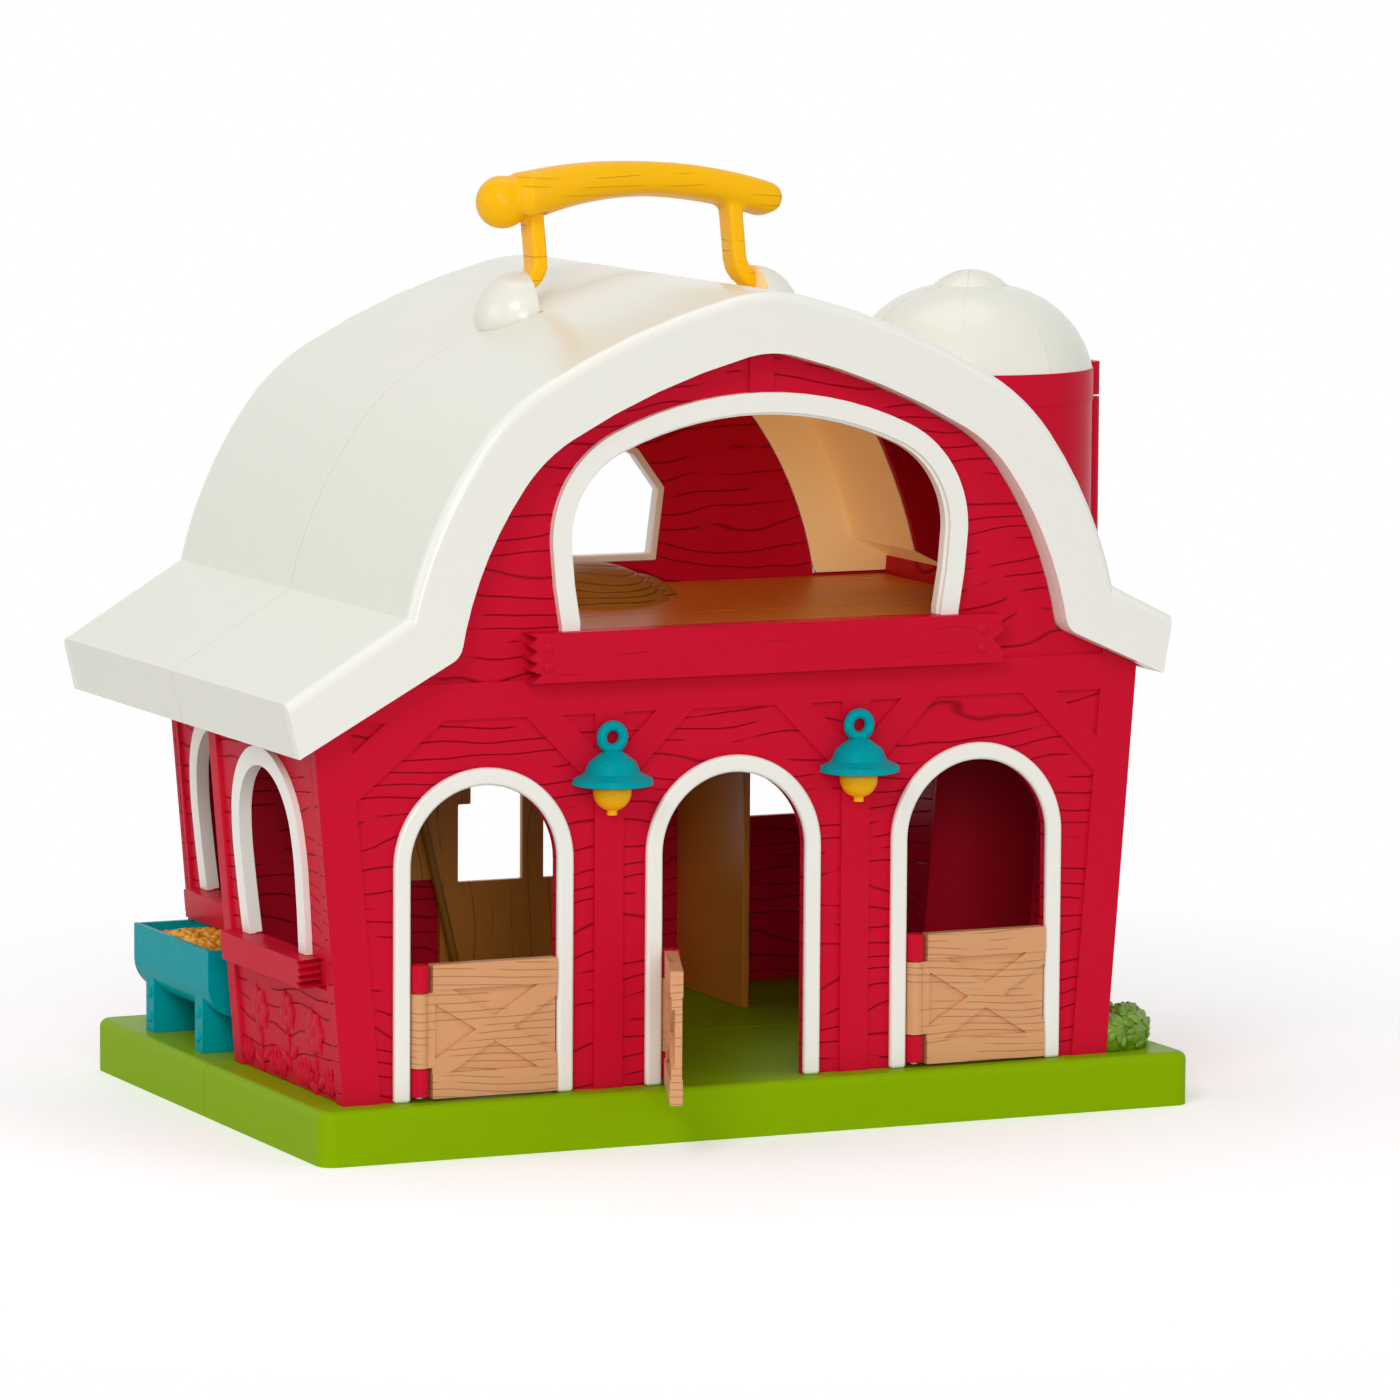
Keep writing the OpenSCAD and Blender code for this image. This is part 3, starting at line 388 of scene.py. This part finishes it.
class Finish:
    """A plastic in the making: its colour and the moulded skin, to which patterns are added."""

    def __init__(self, name, colour, rough=0.32, tone=0.06, change=0.10, specular=0.5):
        self.material = bpy.data.materials.new(name)
        self.material.use_nodes = True
        self.tree = self.material.node_tree
        self.shader = self.tree.nodes["Principled BSDF"]
        self.shader.inputs["Specular IOR Level"].default_value = specular
        self.at = self.tree.nodes.new("ShaderNodeTexCoord").outputs["Object"]
        skin = self.place(SKIN, Tone=tone, Rough=rough)
        skin.inputs["Rough Change"].default_value = change
        self.height = [(skin.outputs["Peel"], 0.00001)]
        self.mask = None
        self.tint = self.blend("MULTIPLY", self.solid(colour), skin.outputs["Shade"], 1.0)
        self.tree.links.new(skin.outputs["Roughness"], self.shader.inputs["Roughness"])

    def place(self, tree, **values):
        node = self.tree.nodes.new("ShaderNodeGroup")
        node.node_tree = tree
        self.tree.links.new(self.at, node.inputs["Vector"])
        for key, value in values.items():
            node.inputs[key].default_value = value
        return node

    def solid(self, colour):
        node = self.tree.nodes.new("ShaderNodeRGB")
        node.outputs[0].default_value = colour
        return node.outputs[0]

    def blend(self, kind, a, b, factor):
        node = self.tree.nodes.new("ShaderNodeMix")
        node.data_type = "RGBA"
        node.blend_type = kind
        inputs = {s.name: s for s in node.inputs if s.enabled}
        if isinstance(factor, (int, float)):
            inputs["Factor"].default_value = factor
        else:
            self.tree.links.new(factor, inputs["Factor"])
        for key, value in (("A", a), ("B", b)):
            if isinstance(value, tuple):
                inputs[key].default_value = value
            else:
                self.tree.links.new(value, inputs[key])
        return next(s for s in node.outputs if s.enabled)

    def mapped(self, setting, values):
        node = self.tree.nodes.new("ShaderNodeMapping")
        node.inputs[setting].default_value = values
        self.tree.links.new(self.at, node.inputs["Vector"])
        self.at = node.outputs["Vector"]
        return self

    def turn(self, about, degrees):
        """Turns the patterns that follow about one axis."""
        return self.mapped("Rotation", [radians(degrees) if axis == about else 0 for axis in "XYZ"])

    def moved(self, x, y, z):
        """Moves the patterns that follow."""
        return self.mapped("Location", [x * MM, y * MM, z * MM])

    def only_beyond(self, direction, edge):
        """Keeps the grain that follows beyond a plane, edge along the direction."""
        self.mask = self.place(BEYOND, Direction=direction, Edge=edge * MM).outputs["Mask"]
        return self

    def second_colour(self, colour, direction, edge):
        """Another colour beyond a plane."""
        beyond = self.place(BEYOND, Direction=direction, Edge=edge * MM)
        self.tint = self.blend("MIX", self.tint, colour, beyond.outputs["Mask"])
        return self

    def ribs(self, count, width, depth):
        """Raised ribs down from the top of a dome."""
        rib = self.place(RIBS, Count=count, Width=width).outputs["Rib"]
        self.height.append((rib, depth * MM))
        return self

    def grain(self, dark, pitch, wave, width, breaks, depth, strength, fibre=0.0):
        """Carved lines, one every pitch, depth deep; wave, width and breaks as in the group."""
        place = self.place(GRAIN, Pitch=pitch * MM, Wave=wave, Width=width, Breaks=breaks)
        lines = place.outputs["Lines"]
        if self.mask:
            lines = maths(self.tree, "MULTIPLY", lines, self.mask)
        factor = maths(self.tree, "MULTIPLY", lines, strength)
        self.tint = self.blend("MIX", self.tint, dark, factor)
        self.height.append((lines, -depth * MM))
        if fibre:
            self.height.append((place.outputs["Fibre"], fibre * MM))
        return self

    def grains(self, light, dark, size, depth):
        """Packed lumps between two tones, in place of the plain colour."""
        cells = self.place(LUMPS, Size=size)
        self.tint = self.blend("MIX", dark, light, cells.outputs["Tone"])
        self.height.append((cells.outputs["Height"], depth * MM))
        return self

    def finish(self):
        """Joins all that was added to the shader."""
        total = None
        for value, depth in self.height:
            scaled = maths(self.tree, "MULTIPLY", value, depth / MM)
            total = scaled if total is None else maths(self.tree, "ADD", total, scaled)
        bump = self.tree.nodes.new("ShaderNodeBump")
        bump.inputs["Distance"].default_value = MM
        self.tree.links.new(total, bump.inputs["Height"])
        self.tree.links.new(bump.outputs["Normal"], self.shader.inputs["Normal"])
        self.tree.links.new(self.tint, self.shader.inputs["Base Color"])
        return self.material


RED = paint(206, 18, 48)
RED_LINE = paint(142, 6, 26)
CREAM = paint(236, 235, 222)
WHITE = paint(244, 243, 234)
GREEN = paint(136, 174, 0)
TEAL = paint(0, 158, 166)
YELLOW = paint(255, 190, 0)
TAN = paint(216, 156, 106)
TAN_LINE = paint(160, 104, 62)
BROWN = paint(206, 128, 40)
BROWN_LINE = paint(120, 66, 18)


def red_wall(name, direction, edge):
    """Engraved grain on the sunken planks only: the raised boards stand before the plane."""
    finish = Finish(name, RED, rough=0.36, specular=0.05).only_beyond(direction, edge)
    return finish.grain(RED_LINE, pitch=6.4, wave=2.2, width=0.13, breaks=0.38, depth=0.4,
                        strength=0.9).finish()


def roof_cream(name, side):
    """Glossy cream with hardly any streaks, and a whiter gable band."""
    finish = Finish(name, CREAM, rough=0.24, tone=0.02, change=0.06)
    finish.second_colour(WHITE, (0, side, 0), BAND_BACK)
    return finish.turn("X", 90).grain(
        paint(222, 220, 204), pitch=24.0, wave=0.4, width=0.05, breaks=0.5, depth=0.03,
        strength=0.2).finish()


def tan_wood(name):
    return Finish(name, TAN, rough=0.36, tone=0.08).grain(
        TAN_LINE, pitch=2.6, wave=1.6, width=0.16, breaks=0.42, depth=0.18, fibre=0.08,
        strength=0.6).finish()


red_front = red_wall("red_front_plastic", (0, 1, 0), -WALL_FACE)
red_rear = red_wall("red_rear_plastic", (0, -1, 0), -WALL_FACE)
red_left_front = red_wall("red_left_front_plastic", (1, 0, LEAN), FRONT_LEFT_FACE)
red_left_rear = red_wall("red_left_rear_plastic", (1, 0, LEAN), REAR_LEFT_FACE)
red_plain = Finish("red_smooth_plastic", RED, rough=0.36, tone=0.05, specular=0.05).grain(
    RED_LINE, pitch=7.5, wave=1.6, width=0.06, breaks=0.55, depth=0.15, strength=0.4).finish()
red_silo = Finish("red_silo_plastic", RED, rough=0.34, tone=0.05, specular=0.05).turn(
    "Y", 90).grain(RED_LINE, pitch=15.0, wave=0.8, width=0.04, breaks=0.6, depth=0.12,
                   strength=0.35).finish()

# Painted light: the cream roof's shaded inside is painted tan, and its emission is a painted glow
# for light through the thin roof.
under = Finish("roof_underside_plastic", paint(250, 226, 176), rough=0.4, tone=0.04)
under.shader.inputs["Emission Color"].default_value = paint(226, 180, 110)
under.shader.inputs["Emission Strength"].default_value = 0.22      # daylight through the thin roof
roof_under_painted_glow = under.finish()
cream_dome = Finish("cream_dome_plastic", CREAM, rough=0.25, tone=0.02).moved(
    -SILO_X, 0, 0).ribs(count=8.0, width=0.04, depth=0.14).finish()
white_trim = Finish("off_white_trim_plastic", WHITE, rough=0.3, tone=0.02).finish()
green_base = Finish("green_base_plastic", GREEN, rough=0.32, tone=0.05, specular=0.03).finish()
teal_gloss = Finish("teal_plastic", TEAL, rough=0.28, tone=0.05, specular=0.03).finish()
yellow_grip = Finish("yellow_grip_plastic", YELLOW, rough=0.3, tone=0.03, specular=0.15).grain(
    paint(226, 150, 0), pitch=3.6, wave=1.2, width=0.10, breaks=0.5, depth=0.2,
    strength=0.6).finish()
yellow_bulb = Finish("yellow_bulb_plastic", paint(253, 186, 8), rough=0.3, tone=0.03,
                     specular=0.15).finish()
brown_planks = Finish("brown_loft_plastic", BROWN, rough=0.36, tone=0.1, specular=0.25).turn(
    "X", 90).grain(BROWN_LINE, pitch=9.0, wave=1.0, width=0.10, breaks=0.35, depth=0.25,
                   fibre=0.15, strength=0.7).finish()
brown_upright = Finish("brown_screen_plastic", BROWN, rough=0.36, tone=0.1).turn(
    "Y", 90).grain(BROWN_LINE, pitch=9.0, wave=0.8, width=0.08, breaks=0.4, depth=0.2,
                   fibre=0.15, strength=0.6).finish()
straw = Finish("golden_straw_plastic", paint(160, 108, 28), rough=0.5, tone=0.15).grain(
    paint(112, 70, 12), pitch=2.2, wave=2.6, width=0.3, breaks=0.35, depth=0.5, fibre=0.4,
    strength=0.7).finish()
pole_brown = Finish("pole_plastic", paint(150, 98, 20), rough=0.4, tone=0.1).finish()
corn_grains = Finish("corn_plastic", paint(228, 165, 25), rough=0.4).grains(
    light=paint(240, 180, 36), dark=paint(205, 135, 10), size=300.0, depth=0.9).finish()
leaf_green = Finish("leafy_green_plastic", GREEN, rough=0.38).grains(
    light=paint(120, 160, 22), dark=paint(92, 132, 12), size=260.0, depth=0.8).finish()
pin_white = Finish("pin_plastic", paint(232, 226, 216), rough=0.3, tone=0.02).finish()
drawn = Finish("drawn_steel", paint(178, 178, 182), rough=0.3, tone=0.05)
drawn.shader.inputs["Metallic"].default_value = 1.0
steel = drawn.grain(paint(140, 140, 144), pitch=0.8, wave=0.4, width=0.3, breaks=0.4, depth=0.02,
                    fibre=0.02, strength=0.3).finish()


# ---------- shells, walls and base ----------

def dress(node, material, round_by, segments=2, angle=35, extras=()):
    """A CAD node with its edges rounded, and with small extra pieces of the same material."""
    piece = from_node(node)
    if round_by:
        soften(piece, round_by, segments, angle)
    if extras:
        piece = join(node, [piece] + extras)
    smooth(piece)
    even(piece)
    return fit(piece, node, material)


def round_edges(piece, wanted, width, segments):
    """Rounds only the wanted edges."""
    pick(piece, wanted, "EDGE")
    ops.mesh.bevel(offset=width * MM, segments=segments, affect="EDGES", clamp_overlap=False)
    done()


def roof(node, side):
    """A half of the roof: its gable band's upper edge broadly rounded, its underside in painted tan
    shade with a painted glow for light through the roof.
    """
    piece = from_node(node)
    front = side * ROOF_FACE * MM
    middle = Vector((0, front, ARCH_MIDDLE * MM))

    def on_rim(c, d, n):
        return abs(c.y - front) < 1e-5 and abs(d.y) < 1e-6 and n.dot(c - middle) > 0 and n.z > 0.15

    round_edges(piece, on_rim, 3.6, 5)
    soften(piece, 1.2, 3, 50)
    smooth(piece, 40)
    even(piece)
    fit(piece, node, roof_cream(node + "_plastic", side), "_shell")
    # The second slot holds the underside's painted shade and glow, given below to faces inside the
    # arch and behind the gable bands.
    piece.data.materials.append(roof_under_painted_glow)
    for face in piece.data.polygons:
        place = face.center / MM
        inward = face.normal.dot(place - Vector((0, place.y, ARCH_MIDDLE))) < 0
        below = inward and abs(face.normal.y) < 0.5
        behind = face.normal.y * side < -0.5 and abs(place.y) > 90
        if (behind or below) and abs(place.y) < WALL_FACE and place.z > LOFT_LOWEST:
            face.material_index = 1


def base(node):
    """A half of the base, its outer top edge well rounded and its edge at the joint a little."""
    piece = from_node(node)

    def on_top(c, d):
        return abs(c.z - BASE_TOP * MM) < 1e-5 and abs(d.z) < 1e-6

    def outer(c, d, n):
        outside = abs(c.y) > 107 * MM or abs(c.x) > 163 * MM      # the base is 340 by 227
        return on_top(c, d) and outside and n.z > 0.5 and abs(c.y) > 0.5 * MM

    def at_joint(c, d, n):
        return on_top(c, d) and abs(c.y) < 0.3 * MM and abs(d.y) < 1e-6

    round_edges(piece, outer, 3.0, 4)
    round_edges(piece, at_joint, 0.9, 3)
    smooth(piece, 40)
    even(piece)
    fit(piece, node, green_base)


def rear_sill():
    """The rear half's sill, cut off flush where the front one has a ragged end."""
    piece = from_node("rear_left_sill")
    only(piece)
    ops.object.mode_set(mode="EDIT")
    ops.mesh.select_all(action="SELECT")
    ops.mesh.bisect(plane_co=(0, SILL_END * MM, 0), plane_no=(0, 1, 0), use_fill=True,
                    clear_outer=True)
    done()
    soften(piece, 0.7, 2)
    smooth(piece)
    fit(piece, "rear_left_sill", red_plain)


def domed_heads(places, across, high, axis):
    """Low domed nail or bolt heads on faces whose outward direction is axis."""
    sunk = 0.4
    profile = [(0, -sunk), (across / 2, -sunk), (across / 2, high * 0.25),
               (across * 0.36, high * 0.75), (0, high)]
    first = turned(profile, 16, axis)
    heads = []
    for place in places:
        head = copy_of(first, "head")
        head.location = Vector(place) * MM
        settle(head)
        heads.append(head)
    only(first)
    ops.object.delete()
    return heads


# ---------- the relief on the front half's left wall ----------

def unit_petal():
    """A drop-shaped leaf, one metre from its middle to each side, with its narrow end at -Y."""
    nothing_selected()
    ops.mesh.primitive_uv_sphere_add(segments=16, ring_count=8, radius=1, location=(0, 0, 0))
    piece = bpy.context.object
    pick(piece, lambda c, n: c.y < -0.6, "VERT")
    ops.transform.resize(value=(0.7, 1, 0.35), center_override=(0, -1, 0))
    done()
    return piece


def petal(first, y, z, length, width, angle, high):
    """A petal on the panel, its broad end at y, z; it points angle degrees up from the front."""
    piece = copy_of(first, "petal")
    root = Matrix.Translation(Vector((LEFT_PANEL - (z - BASE_TOP) * LEAN, y, z)) * MM)
    lean = Matrix.Rotation(-radians(WALL_LEAN), 4, "Y")
    turn = Matrix.Rotation(-radians(angle), 4, "X")
    size = Vector((high, length / 2, width / 2)) * MM
    sized = Matrix.LocRotScale(Vector((0, -size.y, 0)), None, size)
    piece.matrix_world = root @ lean @ turn @ sized
    settle(piece)
    return piece


def garden():
    """A plain relief of flowers, leaves and grass tufts for the lower panel."""
    first = unit_petal()
    made = []
    for y, z, across in ((-27, 43, 18), (-54, 46, 16), (-79, 42, 19)):
        for k in range(7):
            made.append(petal(first, y, z, across * 0.52, across * 0.36, k * 360 / 7, 1.0))
        made.append(petal(first, y - across * 0.15, z, across * 0.3, across * 0.3, 180, 1.25))
        for k in range(3):
            made.append(petal(first, y + 0.4 * k, z - across * 0.42 - k * 5, 6.5, 1.5, -90, 0.8))
        made.append(petal(first, y, z - across - 1, 9.5, 4.0, 32, 1.0))
        made.append(petal(first, y, z - across - 4, 9.5, 4.0, 148, 1.0))
    for y in (-13, -38, -45, -66, -70, -91):
        for angle in (62, 80, 100, 118):
            spread = angle - 90
            blade = 12 - abs(spread) * 0.1
            made.append(petal(first, y + spread * 0.05, 20.6, blade, 2.2, angle, 0.9))
    only(first)
    ops.object.delete()
    return made


# ---------- handle, corn and bush ----------

def swollen_grip():
    """The handle, its bar growing thicker towards the rounded left end, slice by slice."""
    piece = from_node("handle")
    modify(piece, "REMESH", mode="VOXEL", voxel_size=0.8 * MM)
    modify(piece, "SMOOTH", factor=0.5, iterations=6)
    pivot = Vector((0, 0, HANDLE_PIVOT * MM))
    up = Vector((0, sin(radians(HANDLE_LEAN)), cos(radians(HANDLE_LEAN))))
    left_end, slices = -48, 58            # slices one millimetre wide
    bar_deep, bar_middle = 12.4, 4.2      # below the top of each slice
    swelling, hollow = 0.60, 1.6          # at the left end; 1 would be a straight taper
    for k in range(slices):
        left = (left_end + k) * MM
        right = left + 1 * MM
        top = max((v.co - pivot).dot(up) for v in piece.data.vertices if left <= v.co.x < right)

        def in_slice(c, n):
            return left <= c.x < right and (c - pivot).dot(up) > top - bar_deep * MM

        middle = pivot + up * (top - bar_middle * MM) + Vector((left, 0, 0))
        swell = 1 + swelling * ((slices - k) / slices) ** hollow
        pick(piece, in_slice, "VERT")
        ops.transform.resize(value=(1, swell, swell), center_override=middle)
        done()
    modify(piece, "SMOOTH", factor=0.5, iterations=20)
    smooth(piece, 60)
    fit(piece, "handle", yellow_grip)


def bean(long, wide, high):
    """A small rounded lump with few faces, long along X and narrower at one end."""
    nothing_selected()
    ops.mesh.primitive_uv_sphere_add(segments=8, ring_count=6, radius=1, location=(0, 0, 0))
    piece = bpy.context.object
    piece.scale = (long * MM, wide * MM, high * MM)
    settle(piece)
    pick(piece, lambda c, n: c.x > 0.6 * long * MM, "VERT")
    ops.transform.resize(value=(1, 0.7, 0.8), center_override=(long * MM, 0, 0))
    done()
    return piece


def strewn(node, material, seed, places):
    """A CAD node strewn with copies of one small seed, each at a place (point in metres, turn)."""
    made = []
    for point, turn in places:
        twin = copy_of(seed, node)
        twin.rotation_euler = turn
        twin.location = point
        made.append(twin)
    only(seed)
    ops.object.delete()
    loose = join(node, made)
    only(loose)
    ops.object.transform_apply(location=True, rotation=True, scale=True)
    whole = join(node, [from_node(node), loose])
    smooth(whole, 50)
    fit(whole, node, material)


def kernels():
    """Where loose kernels of corn lie on the mound in the trough."""
    rng = random.Random(4)
    places = []
    for k in range(150):
        x, y = rng.uniform(-8.4, 8.4), rng.uniform(-34.5, 34.5)
        dome = CORN_TOP - CORN_CURVE + math.sqrt(CORN_CURVE ** 2 - x ** 2 - y ** 2)
        z = max(dome, CORN_EDGE) - 0.4
        turn = (rng.uniform(-0.4, 0.4), rng.uniform(-0.4, 0.4), rng.uniform(0, pi))
        places.append((Vector((x + TROUGH_X, y + TROUGH_Y, z)) * MM, turn))
    return places


def leaves():
    """Where small leaves stand out from the bush's balls."""
    rng = random.Random(7)
    faces = [f for f in frame["nodes"]["bush"].data.polygons if f.center.z > (BASE_TOP + 1.5) * MM]
    spots = [(f.center.copy(), f.normal.copy()) for f in faces]
    places = []
    for spot, out in rng.sample(spots, min(180, len(spots))):
        upright = out.to_track_quat("Z", "Y").to_matrix()
        tilt = upright @ Matrix.Rotation(rng.uniform(0, 2 * pi), 3, "Z")
        turn = (tilt @ Matrix.Rotation(rng.uniform(-0.5, 0.5), 3, "Y")).to_euler()
        places.append((spot - out * 0.2 * MM, turn))
    return places


# ---------- all pieces ----------

roof("front_roof", -1)
roof("rear_roof", 1)
base("front_base")
base("rear_base")
rear_sill()
swollen_grip()
strewn("corn", corn_grains, bean(2.1, 1.6, 1.2), kernels())
strewn("bush", leaf_green, bean(2.6, 1.7, 1.0), leaves())

nails = domed_heads([(x, LEDGE_FACE, z) for x in (-84, 85) for z in (170.5, 177.5)],
                    across=4.0, high=1.1, axis=(0, -1, 0))
bolts = domed_heads([(TROUGH_FACE, y, z) for y in (24, 74) for z in (25, 34)],
                    across=4.2, high=1.0, axis=(-1, 0, 0))
dress("loft_ledge", red_plain, 0.9, 3, extras=nails)
dress("trough", teal_gloss, 0.9, 3, extras=bolts)
dress("front_left_wall", red_left_front, 0.5, extras=garden())
dress("rear_left_wall", red_left_rear, 0.5)
dress("front_left_sill", red_plain, 0.7)
dress("rear_loft_frame", white_trim, 0.7, 2, 50)
dress("hay_pile", straw, 0)
dress("leaning_pole", pole_brown, 0)
for node in ("front_wall", "front_right_wall"):
    dress(node, red_front, 0.5)
for node in ("rear_wall", "rear_right_wall"):
    dress(node, red_rear, 0.5)
for node in ("front_silo", "rear_silo"):
    dress(node, red_silo, 0.5)
for node in ("front_dome", "rear_dome"):
    dress(node, cream_dome, 0.4)
for node in ("loft_window_frame", "front_left_frame", "rear_left_frame"):
    dress(node, white_trim, 1.3, 4, 50)
for node in ("front_loft", "rear_loft"):
    dress(node, brown_planks, 0.4, 1)
for node in ("stable_screen", "stall_divider"):
    dress(node, brown_upright, 0.5)
for side in ("left", "right"):
    dress(side + "_lamp", teal_gloss, 0.5)
    dress(side + "_bulb", yellow_bulb, 0)
for i in (1, 2, 3):
    dress(f"door_frame_{i}", white_trim, 1.3, 4, 50)
    dress(f"stable_door_{i}", tan_wood(f"tan_door_plastic_{i}"), 0.4)
    dress(f"door_pin_{i}", pin_white, 0)
for node in ("main_hinge_pin", "front_screws", "rear_screws"):
    dress(node, steel, 0.2, 1)


# ---------- stage, light and camera ----------

def paper_floor():
    """White paper that takes the shadow and fades into the white air round it."""
    floor_paint = bpy.data.materials.new("studio_paper")
    floor_paint.use_nodes = True
    tree = floor_paint.node_tree
    shader = tree.nodes["Principled BSDF"]
    shader.inputs["Base Color"].default_value = (0.94, 0.94, 0.94, 1)
    shader.inputs["Roughness"].default_value = 0.9
    shader.inputs["Specular IOR Level"].default_value = 0.1
    place = tree.nodes.new("ShaderNodeTexCoord").outputs["Object"]
    length = tree.nodes.new("ShaderNodeVectorMath")
    length.operation = "LENGTH"
    tree.links.new(place, length.inputs[0])
    fade_from, fade_over = 0.24, 0.30      # metres
    beyond = maths(tree, "SUBTRACT", length.outputs["Value"], fade_from)
    away = maths(tree, "DIVIDE", beyond, fade_over, clamp=True)
    path = tree.nodes.new("ShaderNodeLightPath")
    shader.inputs["Emission Color"].default_value = (1, 1, 1, 1)
    lift = maths(tree, "MULTIPLY", path.outputs["Is Camera Ray"], 0.26)
    tree.links.new(lift, shader.inputs["Emission Strength"])
    clear = tree.nodes.new("ShaderNodeBsdfTransparent")
    both = tree.nodes.new("ShaderNodeMixShader")
    tree.links.new(away, both.inputs["Fac"])
    tree.links.new(shader.outputs[0], both.inputs[1])
    tree.links.new(clear.outputs[0], both.inputs[2])
    tree.links.new(both.outputs[0], tree.nodes["Material Output"].inputs["Surface"])
    nothing_selected()
    ops.mesh.primitive_plane_add(size=3, location=(0, 0, 0))
    floor = bpy.context.object
    floor.name = "studio_floor"
    floor.data.materials.append(floor_paint)


def white_air():
    """A world that looks white, and lights the object at under half that strength."""
    world = bpy.data.worlds.new("studio_air")
    bpy.context.scene.world = world
    world.use_nodes = True
    tree = world.node_tree
    sky = tree.nodes["Background"]
    path = tree.nodes.new("ShaderNodeLightPath")
    seen = maths(tree, "MAXIMUM", path.outputs["Is Camera Ray"],
                 path.outputs["Is Transmission Ray"])
    seen = maths(tree, "MAXIMUM", seen, path.outputs["Is Glossy Ray"])
    strength = maths(tree, "MULTIPLY_ADD", seen, 0.55, 0.45)
    tree.links.new(strength, sky.inputs["Strength"])
    sky.inputs["Color"].default_value = (1, 1, 1, 1)


def lamp(name, place, target, power, size):
    data = bpy.data.lights.new(name, "AREA")
    data.shape = "RECTANGLE"
    data.size, data.size_y = size
    data.energy = power
    light = bpy.data.objects.new(name, data)
    bpy.context.scene.collection.objects.link(light)
    light.location = place
    light.rotation_euler = (Vector(target) - Vector(place)).to_track_quat("-Z", "Y").to_euler()


def softboxes():
    """Five soft lamps, their places and sizes in metres."""
    lamp("key_softbox", (-1.3, -1.5, 1.5), (0, 0, 0.15), 13, (0.8, 0.7))
    lamp("fill_softbox", (1.5, -1.4, 0.9), (0, 0, 0.15), 4, (1.2, 1.2))
    lamp("top_softbox", (0.0, 0.3, 1.9), (0, 0, 0.2), 5, (1.2, 1.2))
    lamp("left_softbox", (-1.9, 0.2, 0.7), (0, 0, 0.12), 4.5, (1.0, 0.8))
    lamp("front_softbox", (-0.8, -2.4, 0.65), (0, 0, 0.17), 13, (0.7, 0.5))


def photo_camera():
    """The camera of the photograph, fitted to the object's corners."""
    data = bpy.data.cameras.new("photo_camera")
    camera = bpy.data.objects.new("photo_camera", data)
    bpy.context.scene.collection.objects.link(camera)
    data.sensor_width = 36
    data.lens = 200.4
    data.clip_end = 50
    camera.location = (-1.1600, -2.5825, 0.4834)
    heading, down, roll = -24.64, 6.85, 0.35      # degrees
    turn = Matrix.Rotation(radians(heading), 3, "Z") @ Matrix.Rotation(radians(90 - down), 3, "X")
    camera.rotation_euler = (turn @ Matrix.Rotation(radians(roll), 3, "Z")).to_euler()
    bpy.context.scene.camera = camera


paper_floor()
white_air()
softboxes()
photo_camera()
bpy.context.scene.view_settings.view_transform = "Standard"
